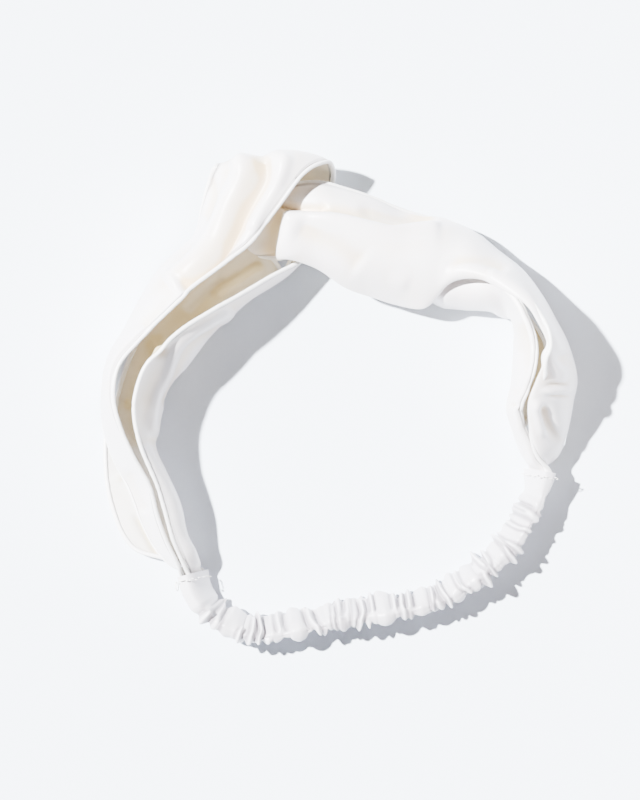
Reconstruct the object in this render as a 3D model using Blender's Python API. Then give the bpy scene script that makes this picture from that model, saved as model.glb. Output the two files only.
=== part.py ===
"""Twist-knot headband in corded satin with a ruched elastic casing at the back.

Two satin strips, each folded into a loop, hook through one another at the front to make the
knot.  Both ends of each loop are sewn into the mouth of a ruched casing that holds a flat
elastic band.  The headband rests on the lower edges of its strips, z = 0 is what it lies on.
Lengths are in metres; the station tables are in millimetres.
"""
import math

import bmesh
import bpy
import numpy as np
from mathutils import Vector

MM = 0.001

# driving dimensions, millimetres
PLY = 0.35              # one satin ply
PLY_GAP = 0.30          # air between the two plies of a strip
PIPING_R = 0.90         # outside radius of a corded piping
PIPING_BORE_R = 0.68    # inside radius of the piping's satin cover
CORD_R = 0.38           # filler cord
SEAM_GAP = 0.30         # air between a ply's edge and its piping
CASING_HEIGHT = 17.0    # long way across the flattened casing
CASING_DEPTH = 6.6      # short way across
CASING_REST = 7.95      # height of its centre line
CASING_FLAT = 1.0       # its underside is flat where it would be lower than this
FLARE = 0.95            # its mouths open this much wider
CASING_WALL = 0.40
RUFFLE = 0.80           # how far the gathers stand in and out of the casing
RUFFLE_COUNT = 15
BAND_HEIGHT = 9.0      # flat elastic
BAND_THICK = 0.80
TUCK = 7.0              # length of strip end inside the casing's mouth
THREAD_R = 0.22
LEAN = math.radians(28) # the casing leans outwards at its top
LOOP_TURN = math.radians(-16.9)   # brings the two seams onto a line along X
ALONG = 54              # stations sampled along a strip
ACROSS = 4              # cells across a strip
PIPING_SIDES = 6
CORD_SIDES = 5
CASING_ALONG = 62
CASING_SIDES = 14
SQUARENESS = 0.6        # below 1 the casing's section is squarer than an ellipse

# centre line of the casing between the mouths
CASING_PATH = [
    (-54.5, -65.2), (-52.8, -71.6), (-48.8, -77.7), (-42.4, -82.6), (-33.5, -85.8),
    (-24.0, -85.6), (-14.5, -83.8), (-4.0, -81.5), (7.4, -79.6), (18.5, -77.7),
    (29.6, -75.6), (39.0, -72.3), (47.4, -67.5), (55.2, -61.4), (61.8, -54.6),
    (66.8, -47.2), (70.6, -39.8), (72.9, -33.8), (74.0, -27.2),
]


# ---------------------------------------------------------------- tables
# Each row crosses a strip: upper edge, two points between, lower edge.  Rows run from the
# front seam end, over the knot, and back to the rear seam end.
LEFT_FRONT = [
    ((-60.6, -61.0, 17.6), (-61.4, -61.2, 14.8), (-62.2, -61.4, 12.0), (-62.6, -61.6, 9.4)),
    ((-64.6, -53.3, 22.0), (-66.2, -53.6, 18.0), (-67.6, -54.2, 13.6), (-68.4, -55.0, 9.4)),
    ((-68.1, -43.7, 26.5), (-70.3, -44.0, 20.8), (-72.3, -44.4, 14.6), (-73.6, -44.8, 9.0)),
    ((-71.0, -32.6, 31.0), (-73.6, -32.9, 24.2), (-76.2, -33.6, 16.6), (-77.7, -34.0, 9.6)),
    ((-77.0, -21.5, 36.0), (-79.6, -21.8, 27.0), (-82.4, -22.5, 16.8), (-83.6, -22.9, 8.8)),
    ((-82.1, -10.0, 39.5), (-85.1, -10.0, 28.4), (-87.0, -10.4, 16.4), (-87.2, -11.1, 7.6)),
    ((-84.4, 0.7, 41.0), (-87.3, 1.1, 28.8), (-87.8, 1.2, 15.4), (-87.2, 0.6, 4.8)),
    ((-82.5, 11.8, 41.5), (-85.1, 13.3, 29.4), (-85.4, 14.1, 15.2), (-83.9, 13.6, 2.0)),
    ((-75.1, 21.1, 41.5), (-78.3, 23.3, 30.0), (-79.2, 24.5, 16.0), (-78.3, 24.2, 2.0)),
    ((-64.8, 31.5, 41.0), (-69.2, 35.2, 31.4), (-72.2, 37.2, 17.4), (-72.6, 37.4, 3.4)),
    ((-55.5, 40.3, 40.0), (-59.9, 44.8, 33.0), (-63.6, 48.1, 19.6), (-64.8, 49.2, 5.0)),
    ((-42.6, 50.0, 38.5), (-48.1, 54.4, 34.0), (-52.2, 58.0, 22.0), (-53.9, 59.5, 8.5)),
    ((-32.6, 59.2, 36.5), (-40.0, 64.0, 35.0), (-47.0, 67.7, 25.5), (-50.7, 70.2, 13.0)),
    ((-23.7, 71.0, 34.5), (-31.8, 74.4, 34.5), (-40.9, 77.5, 28.6), (-47.9, 79.8, 17.0)),
]
LEFT_KNOT = [
    ((-13.7, 84.0, 33.5), (-22.6, 87.4, 35.0), (-33.5, 87.2, 32.0), (-45.4, 84.8, 22.5)),
    ((-5.6, 87.6, 26.0), (-19.5, 91.2, 26.5), (-32.0, 89.4, 24.0), (-43.6, 86.0, 16.0)),
    ((-3.2, 84.0, 18.5), (-14.5, 86.2, 16.5), (-26.0, 85.0, 14.0), (-36.0, 81.5, 10.5)),
    ((-3.4, 79.0, 15.8), (-9.6, 80.0, 13.8), (-16.2, 80.4, 12.8), (-22.6, 79.8, 12.2)),
    ((-3.8, 72.0, 14.2), (-7.6, 72.4, 12.6), (-11.6, 73.2, 12.0), (-15.4, 73.8, 12.6)),
    ((-5.0, 63.0, 14.0), (-8.8, 62.8, 12.0), (-12.8, 62.4, 10.6), (-16.4, 62.0, 10.2)),
    ((-8.8, 55.0, 14.6), (-11.4, 54.4, 11.8), (-14.0, 54.2, 9.6), (-16.6, 54.0, 8.2)),
    ((-12.8, 51.2, 15.6), (-14.4, 50.2, 12.4), (-16.2, 49.4, 9.2), (-18.4, 48.8, 6.2)),
    ((-17.8, 48.2, 18.6), (-18.2, 46.6, 13.6), (-19.6, 45.4, 8.6), (-21.6, 44.6, 3.8)),
]
LEFT_BACK = [
    ((-25.2, 44.4, 23.5), (-24.2, 42.4, 15.2), (-26.2, 42.6, 6.4), (-32.5, 52.5, 2.0)),
    ((-35.2, 38.4, 29.0), (-33.6, 36.4, 19.4), (-35.2, 36.8, 7.6), (-43.5, 50.0, 3.0)),
    ((-46.3, 32.2, 34.0), (-43.4, 29.4, 23.0), (-43.2, 28.6, 8.4), (-54.0, 43.0, 2.6)),
    ((-55.5, 26.6, 36.5), (-51.6, 23.0, 24.8), (-50.2, 21.0, 8.8), (-63.5, 36.0, 2.4)),
    ((-64.8, 19.0, 38.0), (-59.8, 14.6, 26.0), (-57.2, 11.2, 9.4), (-72.5, 25.5, 2.2)),
    ((-72.2, 11.0, 38.0), (-67.0, 7.6, 26.4), (-63.0, 3.2, 9.8), (-78.2, 14.0, 2.0)),
    ((-75.9, 0.7, 36.8), (-70.8, -1.4, 25.8), (-66.0, -5.2, 9.8), (-81.6, 4.5, 1.8)),
    ((-75.9, -6.2, 35.6), (-70.6, -8.4, 24.8), (-67.6, -12.2, 9.4), (-82.8, -3.2, 1.8)),
    ((-75.1, -11.5, 34.6), (-70.4, -13.4, 23.8), (-69.2, -16.4, 9.0), (-84.6, -9.0, 1.8)),
    ((-73.6, -16.8, 33.4), (-69.2, -18.0, 22.6), (-70.4, -18.8, 7.4), (-86.0, -14.0, 2.0)),
    ((-71.8, -21.5, 32.2), (-67.6, -22.2, 21.6), (-70.0, -22.6, 6.4), (-86.2, -21.4, 2.4)),
    ((-67.3, -31.5, 28.8), (-63.0, -31.4, 19.0), (-67.2, -32.2, 5.2), (-85.6, -31.0, 3.0)),
    ((-64.4, -40.3, 26.0), (-59.2, -40.0, 16.6), (-64.2, -41.6, 4.0), (-83.6, -40.6, 3.4)),
    ((-61.4, -51.1, 22.8), (-56.7, -50.6, 14.2), (-61.6, -52.8, 3.4), (-79.4, -51.0, 3.6)),
    ((-58.6, -57.8, 19.0), (-53.4, -57.2, 12.4), (-57.6, -58.8, 3.4), (-72.6, -57.6, 3.6)),
    ((-56.6, -62.6, 15.4), (-52.6, -61.8, 10.6), (-52.4, -61.6, 6.4), (-56.6, -61.4, 4.0)),
]
RIGHT_FRONT = [
    ((73.3, -20.4, 18.4), (76.6, -20.4, 15.4), (79.6, -21.2, 10.0), (79.6, -22.4, 4.6)),
    ((70.3, -12.2, 24.0), (76.0, -12.4, 22.0), (82.0, -13.0, 14.0), (83.2, -13.7, 4.5)),
    ((69.4, -2.6, 30.0), (76.6, -1.9, 29.0), (84.4, -1.9, 17.5), (84.6, -2.4, 4.0)),
    ((72.2, 6.3, 35.0), (78.4, 6.8, 33.0), (86.2, 7.2, 19.0), (85.4, 7.2, 4.0)),
    ((76.6, 17.6, 36.5), (79.9, 18.9, 32.0), (83.8, 19.3, 17.6), (82.6, 18.9, 3.4)),
    ((72.6, 27.4, 36.8), (75.9, 28.7, 31.5), (79.2, 28.6, 17.2), (78.4, 28.2, 3.0)),
    ((68.1, 34.6, 36.4), (71.6, 37.2, 31.5), (74.4, 37.4, 16.8), (73.6, 37.0, 3.0)),
    ((60.3, 39.8, 34.4), (63.4, 43.6, 31.5), (67.0, 46.2, 17.4), (66.8, 46.2, 3.0)),
    ((51.1, 43.8, 31.2), (54.0, 48.8, 30.5), (57.8, 53.0, 17.8), (58.3, 53.2, 3.2)),
    ((40.7, 42.4, 27.0), (44.2, 51.0, 30.0), (47.6, 59.0, 20.5), (48.8, 60.4, 5.0)),
    ((31.8, 33.4, 18.0), (33.2, 45.4, 28.5), (35.2, 58.6, 27.0), (37.0, 66.4, 9.5)),
    ((23.3, 33.6, 14.5), (23.3, 46.6, 28.0), (23.3, 59.4, 28.5), (23.3, 68.8, 12.5)),
    ((11.8, 37.0, 15.5), (11.8, 49.0, 28.5), (11.9, 62.0, 29.5), (12.2, 73.2, 16.0)),
    ((1.9, 40.6, 18.5), (1.2, 51.0, 29.0), (0.8, 64.4, 30.0), (1.1, 76.8, 19.5)),
    ((-8.1, 47.4, 22.5), (-9.2, 55.4, 29.0), (-9.6, 67.0, 29.5), (-9.3, 79.0, 22.0)),
    ((-18.0, 51.0, 24.5), (-19.8, 57.2, 28.0), (-21.6, 66.6, 26.6), (-22.6, 77.2, 20.6)),
]
RIGHT_KNOT = [
    ((-24.0, 51.8, 17.5), (-28.0, 56.8, 18.5), (-29.4, 64.6, 18.0), (-29.4, 74.0, 15.6)),
    ((-30.6, 52.6, 10.6), (-35.4, 57.6, 11.0), (-34.6, 64.6, 10.6), (-31.2, 72.2, 10.4)),
    ((-27.0, 53.4, 6.2), (-31.0, 58.4, 5.6), (-28.6, 65.0, 5.4), (-24.0, 71.4, 6.0)),
]
RIGHT_BACK = [
    ((-13.0, 51.6, 2.8), (-14.4, 57.6, 2.8), (-14.0, 64.2, 3.0), (-10.6, 70.0, 3.6)),
    ((0.0, 47.6, 3.4), (0.4, 54.2, 3.0), (1.2, 61.0, 3.2), (3.0, 67.0, 3.8)),
    ((12.0, 45.4, 8.0), (12.4, 51.0, 4.8), (13.4, 56.6, 3.2), (15.0, 61.4, 3.0)),
    ((23.0, 44.8, 16.4), (24.2, 45.4, 11.6), (25.2, 44.6, 6.6), (26.0, 43.4, 2.8)),
    ((33.0, 45.6, 20.4), (34.4, 42.8, 19.0), (35.6, 38.8, 13.6), (36.0, 34.6, 5.4)),
    ((43.0, 47.0, 22.4), (44.0, 43.0, 21.8), (44.8, 37.8, 16.6), (45.2, 33.0, 6.4)),
    ((53.6, 45.8, 24.4), (54.4, 42.2, 23.8), (55.0, 37.2, 17.2), (55.2, 32.6, 6.0)),
    ((62.6, 38.2, 30.6), (62.2, 35.8, 22.4), (61.6, 32.0, 12.0), (61.2, 29.2, 3.6)),
    ((68.0, 30.6, 34.0), (65.6, 28.2, 23.4), (64.4, 26.2, 9.6), (69.0, 29.4, 3.0)),
    ((71.0, 22.0, 35.0), (66.8, 20.6, 23.4), (64.6, 19.6, 8.8), (75.5, 21.6, 2.6)),
    ((71.2, 13.6, 35.0), (66.6, 13.2, 23.4), (64.6, 12.8, 8.6), (77.0, 13.4, 2.4)),
    ((68.6, 5.0, 33.0), (65.2, 5.0, 21.6), (64.2, 4.8, 8.2), (76.0, 4.6, 2.4)),
    ((65.0, -3.4, 28.6), (62.8, -3.8, 19.2), (62.6, -4.2, 8.4), (72.0, -4.2, 2.6)),
    ((66.6, -10.6, 24.0), (64.6, -11.0, 17.2), (64.0, -11.4, 9.6), (66.2, -11.4, 3.2)),
    ((69.4, -18.0, 19.4), (68.0, -18.4, 14.4), (66.8, -19.0, 9.0), (66.8, -19.4, 3.6)),
    ((71.4, -23.4, 16.2), (70.4, -23.6, 12.2), (69.6, -24.0, 7.8), (69.4, -24.2, 3.6)),
]


# ---------------------------------------------------------------- maths helpers
def unit(v):
    v = np.asarray(v, float)
    return v / np.maximum(np.linalg.norm(v, axis=-1, keepdims=True), 1e-12)


def seam_rows(at_end, depths, high, low):
    """Rows of a strip end inside a casing mouth, at each depth.

    high and low are (distance up the casing, distance outwards) of the strip's two edges.
    """
    rows = []
    for depth in depths:
        share = 1 - depth / CASING_LENGTH if at_end else depth / CASING_LENGTH
        _, centre, tall, thick = casing_frames(3, max(share - 0.002, 0), min(share + 0.002, 1))
        rows.append([centre[1] + tall[1] * (high[0] + (low[0] - high[0]) * k / 3)
                     + thick[1] * (high[1] + (low[1] - high[1]) * k / 3) for k in range(4)])
    return rows


def catmull(rows, samples):
    """Catmull-Rom curve through rows, any number of columns at once, sampled evenly by row."""
    rows = np.array(rows, float)
    padded = np.concatenate([[2 * rows[0] - rows[1]], rows, [2 * rows[-1] - rows[-2]]])
    out = []
    for k in range(samples):
        t = k * (len(rows) - 1) / (samples - 1)
        i = min(int(t), len(rows) - 2)
        f = t - i
        p0, p1, p2, p3 = padded[i:i + 4]
        out.append(0.5 * (2 * p1 + (p2 - p0) * f + (2 * p0 - 5 * p1 + 4 * p2 - p3) * f ** 2
                          + (3 * p1 - p0 - 3 * p2 + p3) * f ** 3))
    return np.array(out)


def cubic_across(four, cells):
    """Cubic through the four points of each row, cut into cells."""
    v = np.linspace(0, 1, cells + 1)
    basis = np.stack([-4.5 * (v - 1 / 3) * (v - 2 / 3) * (v - 1), 13.5 * v * (v - 2 / 3) * (v - 1),
                      -13.5 * v * (v - 1 / 3) * (v - 1), 4.5 * v * (v - 1 / 3) * (v - 2 / 3)])
    return np.einsum("kc,akd->acd", basis, four)


def grid_normals(grid):
    du, dv = np.gradient(grid, axis=0), np.gradient(grid, axis=1)
    return unit(np.cross(du, dv))


def turn(points):
    """Drawing position to world position: turned about Z, in metres, nothing below z = 0."""
    c, s = math.cos(LOOP_TURN), math.sin(LOOP_TURN)
    p = np.array(points, float).reshape(-1, 3)
    x, y = p[:, 0] * c - p[:, 1] * s, p[:, 0] * s + p[:, 1] * c
    return np.stack([x, y, np.maximum(p[:, 2], 0.0)], axis=1)


# ---------------------------------------------------------------- mesh helpers
def add_object(name, points, faces, material, collection):
    mesh = bpy.data.meshes.new(name)
    mesh.from_pydata([tuple(p) for p in turn(points) * MM], [], faces)
    bm = bmesh.new()
    bm.from_mesh(mesh)
    bmesh.ops.recalc_face_normals(bm, faces=bm.faces)
    bm.to_mesh(mesh)
    bm.free()
    for polygon in mesh.polygons:
        polygon.use_smooth = True
    mesh.materials.append(material)
    obj = bpy.data.objects.new(name, mesh)
    collection.objects.link(obj)
    return obj


def shell(grid, normals, low, high):
    """Closed slab over a grid between two offsets along its normals."""
    n, m = grid.shape[:2]
    points = np.concatenate([(grid + normals * high).reshape(-1, 3),
                             (grid + normals * low).reshape(-1, 3)])
    faces, back = [], n * m
    for i in range(n - 1):
        for j in range(m - 1):
            a = i * m + j
            faces.append((a, a + 1, a + m + 1, a + m))
            faces.append((back + a, back + a + m, back + a + m + 1, back + a + 1))
    for i in range(n - 1):
        for j in (0, m - 1):
            a, b = i * m + j, (i + 1) * m + j
            faces.append((a, b, back + b, back + a))
    for j in range(m - 1):
        for i in (0, n - 1):
            a, b = i * m + j, i * m + j + 1
            faces.append((a, back + a, back + b, b))
    return points, faces


def rings(centres, side_a, side_b, radius, sides, phase=0.0):
    """Circles of a tube along a path, from two directions across it."""
    angles = 2 * math.pi * np.arange(sides) / sides + phase
    return (centres[:, None] + radius * (np.cos(angles)[None, :, None] * side_a[:, None]
                                         + np.sin(angles)[None, :, None] * side_b[:, None]))


def tube_faces(n, sides, start=0, closed=False):
    faces = []
    for i in range(n if closed else n - 1):
        for j in range(sides):
            a, b = start + i * sides, start + ((i + 1) % n) * sides
            k = (j + 1) % sides
            faces.append((a + j, a + k, b + k, b + j))
    return faces


def solid_tube(ring):
    n, sides = ring.shape[:2]
    faces = tube_faces(n, sides)
    faces.append(tuple(range(sides)))
    faces.append(tuple((n - 1) * sides + j for j in range(sides)))
    return ring.reshape(-1, 3), faces


def hollow_tube(outer, inner):
    """Pipe with an open bore: outer wall, inner wall and a rim at each end."""
    n, sides = outer.shape[:2]
    back = n * sides
    faces = tube_faces(n, sides) + tube_faces(n, sides, back)
    for i in (0, n - 1):
        for j in range(sides):
            a, b = i * sides + j, i * sides + (j + 1) % sides
            faces.append((a, b, back + b, back + a))
    return np.concatenate([outer.reshape(-1, 3), inner.reshape(-1, 3)]), faces


def fabric(name, colour, roughness):
    material = bpy.data.materials.new(name)
    material.use_nodes = True
    shader = material.node_tree.nodes["Principled BSDF"]
    shader.inputs["Base Color"].default_value = (*colour, 1.0)
    shader.inputs["Roughness"].default_value = roughness
    shader.inputs["Metallic"].default_value = 0.0
    material.diffuse_color = (*colour, 1.0)
    return material


CASING_LINE = catmull(CASING_PATH, 400)
CASING_REACH = np.concatenate([[0], np.cumsum(np.linalg.norm(np.diff(CASING_LINE, axis=0),
                                                             axis=1))])
CASING_LENGTH = CASING_REACH[-1]


# ---------------------------------------------------------------- pieces
def build_strip(side, rows, collection, face_mat, lining_mat, piping_mat, cord_mat):
    """Two plies of one strip, with a corded piping along both of its edges."""
    grid = cubic_across(catmull(rows, ALONG), ACROSS)
    normals = grid_normals(grid) * (1 if side == "left" else -1)   # towards its outer side
    half = PLY_GAP / 2
    add_object(f"{side}_strip_face", *shell(grid, normals, half, half + PLY), face_mat,
               collection)
    add_object(f"{side}_strip_lining", *shell(grid, normals, -half - PLY, -half), lining_mat,
               collection)
    for edge, column, nearby in (("upper", 0, 1), ("lower", -1, -2)):
        tangent = unit(np.gradient(grid[:, column], axis=0))
        away = grid[:, column] - grid[:, nearby]
        away = unit(away - tangent * np.sum(away * tangent, axis=1, keepdims=True))
        across = unit(np.cross(tangent, away))
        centres = grid[:, column] + away * (SEAM_GAP + PIPING_R)
        centres[:, 2] = np.maximum(centres[:, 2], 0.82)
        outer = rings(centres, away, across, PIPING_R, PIPING_SIDES)
        inner = rings(centres, away, across, PIPING_BORE_R, PIPING_SIDES)
        cord = rings(centres, away, across, CORD_R, CORD_SIDES)
        add_object(f"{side}_{edge}_piping", *hollow_tube(outer, inner), piping_mat, collection)
        add_object(f"{side}_{edge}_cord", *solid_tube(cord), cord_mat, collection)


def casing_frames(samples, first, last):
    """Shares of the casing's length, centres, and axes up and outwards across it."""
    at = np.linspace(first * CASING_LENGTH, last * CASING_LENGTH, samples)
    centre = np.stack([np.interp(at, CASING_REACH, CASING_LINE[:, k]) for k in (0, 1)]
                      + [np.full(samples, CASING_REST)], axis=1)
    tangent = unit(np.gradient(centre, axis=0))
    outward = np.stack([tangent[:, 1], -tangent[:, 0], np.zeros(samples)], axis=1)
    up = np.array([0.0, 0.0, 1.0])
    lean = np.full((samples, 1), LEAN)
    tall = np.cos(lean) * up + np.sin(lean) * outward
    thick = np.cos(lean) * outward - np.sin(lean) * up
    return at / CASING_LENGTH, centre, tall, thick


def squared(value):
    return np.sign(value) * np.abs(value) ** SQUARENESS


def build_casing(collection, satin, elastic_mat, thread_mat):
    share, centre, tall, thick = casing_frames(CASING_ALONG, 0.0, 1.0)
    angles = 2 * math.pi * (np.arange(CASING_SIDES) + 0.5) / CASING_SIDES
    calm = np.clip(np.minimum(share - 0.09, 0.95 - share) / 0.06, 0, 1)
    wave = RUFFLE * calm * np.sin(2 * math.pi * RUFFLE_COUNT * share + 1.1 * np.sin(9 * share))

    flare = FLARE * np.exp(-np.minimum(share, 1 - share) * CASING_LENGTH / 4)

    def wall(inset):
        tall_r = CASING_HEIGHT / 2 - inset + 0.5 * wave + flare
        thick_r = CASING_DEPTH / 2 - inset + wave + flare
        ring = (centre[:, None]
                + (tall_r[:, None] * squared(np.sin(angles)))[..., None] * tall[:, None]
                + (thick_r[:, None] * squared(np.cos(angles)))[..., None] * thick[:, None])
        ring[..., 2] = np.where(ring[..., 2] < CASING_FLAT + inset, inset, ring[..., 2])
        return ring

    add_object("elastic_casing", *hollow_tube(wall(0.0), wall(CASING_WALL)), satin, collection)

    inset = 1.0 / CASING_LENGTH
    _, centre, tall, thick = casing_frames(40, inset, 1 - inset)
    grid = np.stack([centre + tall * (BAND_HEIGHT / 2 * k) for k in (1, 0, -1)], axis=1)
    normals = np.repeat(thick[:, None], 3, axis=1)
    add_object("elastic_band", *shell(grid, normals, -BAND_THICK / 2, BAND_THICK / 2),
               elastic_mat, collection)

    # one stitched thread over each mouth, from low on one face, over the top, to the other
    reach_tall = CASING_HEIGHT / 2 + FLARE + 0.3 + THREAD_R
    reach_thick = CASING_DEPTH / 2 + FLARE + 0.3 + THREAD_R
    for name, place in (("left_seam_thread", 2.2 / CASING_LENGTH),
                        ("right_seam_thread", 1 - 2.2 / CASING_LENGTH)):
        _, centre, tall, thick = casing_frames(3, place - 0.002, place + 0.002)
        steps = np.linspace(math.radians(-24), math.radians(204), 40)
        line = (centre[1] + np.outer(squared(np.sin(steps)) * reach_tall, tall[1])
                + np.outer(squared(np.cos(steps)) * reach_thick, thick[1]))
        forward = unit(np.cross(tall[1], thick[1]))
        line += np.outer(0.4 * np.cos(9 * steps), forward)
        tangent = unit(np.gradient(line, axis=0))
        side = unit(np.cross(tangent, np.broadcast_to(forward, line.shape)))
        ring = rings(line, side, np.cross(tangent, side), THREAD_R, 4)
        add_object(name, *solid_tube(ring), thread_mat, collection)


def main():
    for obj in list(bpy.data.objects):
        bpy.data.objects.remove(obj, do_unlink=True)
    headband = bpy.data.collections.new("twist_knot_headband")
    bpy.context.scene.collection.children.link(headband)

    face = fabric("ivory_satin", (0.86, 0.83, 0.78), 0.32)
    lining = fabric("ivory_lining", (0.84, 0.80, 0.73), 0.38)
    piping = fabric("ivory_piping", (0.90, 0.88, 0.85), 0.35)
    cord = fabric("cotton_cord", (0.88, 0.87, 0.84), 0.9)
    elastic = fabric("white_elastic", (0.87, 0.87, 0.86), 0.7)
    thread = fabric("ivory_thread", (0.85, 0.81, 0.73), 0.6)

    left = (seam_rows(False, (TUCK, 0.0), (5.0, 1.4), (-1.6, 1.8)) + LEFT_FRONT + LEFT_KNOT
            + LEFT_BACK + seam_rows(False, (0.0, TUCK), (5.0, -1.4), (-5.0, -1.4)))
    right = (seam_rows(True, (TUCK, 0.0), (5.0, 1.4), (-5.0, 1.4)) + RIGHT_FRONT + RIGHT_KNOT
             + RIGHT_BACK + seam_rows(True, (0.0, TUCK), (5.0, -1.4), (-5.0, -1.4)))
    build_strip("left", left, headband, face, lining, piping, cord)
    build_strip("right", right, headband, face, lining, piping, cord)
    build_casing(headband, face, elastic, thread)

    # the origin goes to the middle of the base
    corners = np.array([obj.matrix_world @ vertex.co for obj in headband.objects
                        for vertex in obj.data.vertices])
    low, high = corners.min(axis=0), corners.max(axis=0)
    shift = Vector((-(low[0] + high[0]) / 2, -(low[1] + high[1]) / 2, -low[2]))
    for obj in headband.objects:
        obj.location = shift


main()
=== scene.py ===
"""Looks of the twist-knot headband: folded satin strips with corded piping, a ruched casing
over a flat elastic, and hand-stitched seams, on a pale table.

Points of the tables and of the folds are in millimetres in the drawing frame, which is the
world frame before it is turned about Z and shifted.
"""

import math

import bpy
import numpy as np
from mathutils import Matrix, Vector


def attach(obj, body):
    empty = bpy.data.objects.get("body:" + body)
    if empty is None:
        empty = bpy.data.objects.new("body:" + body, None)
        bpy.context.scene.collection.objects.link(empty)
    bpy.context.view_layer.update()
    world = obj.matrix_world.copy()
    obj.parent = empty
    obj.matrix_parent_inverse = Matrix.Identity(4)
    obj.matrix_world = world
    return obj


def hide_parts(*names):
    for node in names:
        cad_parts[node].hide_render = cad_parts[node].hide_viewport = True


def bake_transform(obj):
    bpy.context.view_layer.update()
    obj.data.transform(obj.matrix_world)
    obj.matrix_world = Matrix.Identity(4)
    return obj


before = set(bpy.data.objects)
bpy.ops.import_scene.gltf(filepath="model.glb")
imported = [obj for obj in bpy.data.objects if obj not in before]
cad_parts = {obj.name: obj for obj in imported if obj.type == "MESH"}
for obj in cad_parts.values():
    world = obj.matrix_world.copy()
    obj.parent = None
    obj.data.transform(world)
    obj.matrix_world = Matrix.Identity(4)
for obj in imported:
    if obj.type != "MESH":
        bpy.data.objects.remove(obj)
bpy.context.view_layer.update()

MM = 0.001
# the world frame is the drawing frame turned about Z, then shifted by so many metres
LOOP_TURN = math.radians(-16.9)
SHIFT = np.array([0.0035383, -0.0045998, 0.0])

# sizes, in millimetres
PLY = 0.32              # one satin ply
PLY_GAP = 0.30          # air between the two plies of a strip
PIPING_R = 0.76         # outside radius of a corded piping
PIPING_WALL = 0.25      # its satin cover
SEAM_GAP = 0.30         # air between a ply's edge and its piping
STRAND_R = 0.19         # one of the three strands of a filler cord
CASING_HEIGHT = 17.0    # long way across the flattened casing
CASING_DEPTH = 6.6      # short way across
CASING_REST = 7.95      # height of its centre line above the table
FLARE = 0.95            # how far the stitches stand out from the casing's mouth
CASING_WALL = 0.35
BAND_HEIGHT = 9.0       # flat elastic
BAND_THICK = 0.80
TUCK = 7.0              # length of strip end inside the casing's mouth
LEAN = math.radians(28) # the casing leans outwards at its top
STITCH_R = 0.20
LOOSE_THREAD_R = 0.17
CURL_R = 0.75           # radius of a rim that curls under
CLOTH_FLOOR = 0.55      # lowest that the middle of a strip's cloth comes to the table
PIPING_FLOOR = 0.80     # lowest that a piping's middle comes to it

# how finely each piece is made
ALONG = 720
ACROSS = 56
CURL_CELLS = 12
PIPING_SIDES = 20
CASING_ALONG = 1100
CASING_SIDES = 84

# rows over which a fold fades in and out at its first and last row
FOLD_FADE = 0.6

# centre line of the casing, from the left seam to the right
CASING_PATH = [
    (-54.5, -65.2), (-52.8, -71.6), (-48.8, -77.7), (-42.4, -82.6), (-33.5, -85.8),
    (-24.0, -85.6), (-14.5, -83.8), (-4.0, -81.5), (7.4, -79.6), (18.5, -77.7),
    (29.6, -75.6), (39.0, -72.3), (47.4, -67.5), (55.2, -61.4), (61.8, -54.6),
    (66.8, -47.2), (70.6, -39.8), (72.9, -33.8), (74.0, -27.2),
]

# Each row crosses a strip: upper edge, two points between, lower edge.  Rows run from the
# front seam end, over the knot, and back to the rear seam end.
LEFT_FRONT = [
    ((-60.6, -61.0, 17.6), (-61.4, -61.2, 14.8), (-62.2, -61.4, 12.0), (-62.6, -61.6, 9.4)),
    ((-64.6, -53.3, 22.0), (-66.2, -53.6, 18.0), (-67.6, -54.2, 13.6), (-68.4, -55.0, 9.4)),
    ((-68.1, -43.7, 26.5), (-70.3, -44.0, 20.8), (-72.3, -44.4, 14.6), (-73.6, -44.8, 9.0)),
    ((-71.0, -32.6, 31.0), (-73.6, -32.9, 24.2), (-76.2, -33.6, 16.6), (-77.7, -34.0, 9.6)),
    ((-77.0, -21.5, 36.0), (-79.6, -21.8, 27.0), (-82.4, -22.5, 16.8), (-83.6, -22.9, 8.8)),
    ((-82.1, -10.0, 39.5), (-85.1, -10.0, 28.4), (-87.0, -10.4, 16.4), (-87.2, -11.1, 7.6)),
    ((-84.4, 0.7, 41.0), (-87.3, 1.1, 28.8), (-87.8, 1.2, 15.4), (-87.2, 0.6, 4.8)),
    ((-82.5, 11.8, 41.5), (-85.1, 13.3, 29.4), (-85.4, 14.1, 15.2), (-83.9, 13.6, 2.0)),
    ((-75.1, 21.1, 41.5), (-78.3, 23.3, 30.0), (-79.2, 24.5, 16.0), (-78.3, 24.2, 2.0)),
    ((-64.8, 31.5, 41.0), (-69.2, 35.2, 31.4), (-72.2, 37.2, 17.4), (-72.6, 37.4, 3.4)),
    ((-55.5, 40.3, 40.0), (-59.9, 44.8, 33.0), (-63.6, 48.1, 19.6), (-64.8, 49.2, 5.0)),
    ((-42.6, 50.0, 38.5), (-48.1, 54.4, 34.0), (-52.2, 58.0, 22.0), (-53.9, 59.5, 8.5)),
    ((-32.6, 59.2, 36.5), (-40.0, 64.0, 35.0), (-47.0, 67.7, 25.5), (-50.7, 70.2, 13.0)),
    ((-23.7, 71.0, 34.5), (-31.8, 74.4, 34.5), (-40.9, 77.5, 28.6), (-47.9, 79.8, 17.0)),
]
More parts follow.
